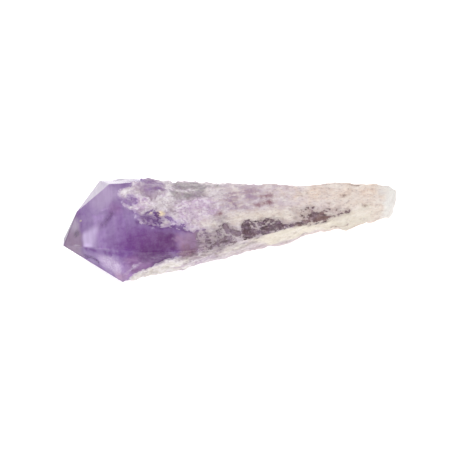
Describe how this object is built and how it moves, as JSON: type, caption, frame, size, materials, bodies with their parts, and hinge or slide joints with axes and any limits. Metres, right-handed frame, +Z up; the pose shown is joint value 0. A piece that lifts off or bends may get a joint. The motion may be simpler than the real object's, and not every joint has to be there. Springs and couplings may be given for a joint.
{
  "type": "raw amethyst point",
  "caption": "Single raw amethyst crystal lying on one long face: a clear purple pyramid tip, a rough cream and lilac tapering body and a snapped root.",
  "frame": {"origin": "on the surface that the crystal lies on, under the middle of its box", "axes": "+X along the crystal towards its root, -X towards its tip, -Y towards its front, +Z up out of the surface"},
  "size_m": [0.1112, 0.0347, 0.0245],
  "materials": {
    "amethyst": "clear purple quartz at the tip, under a rough cream and lilac skin on the body"
  },
  "bodies": {
    "root": {"amethyst_point": "amethyst"}
  },
  "joints": []
}
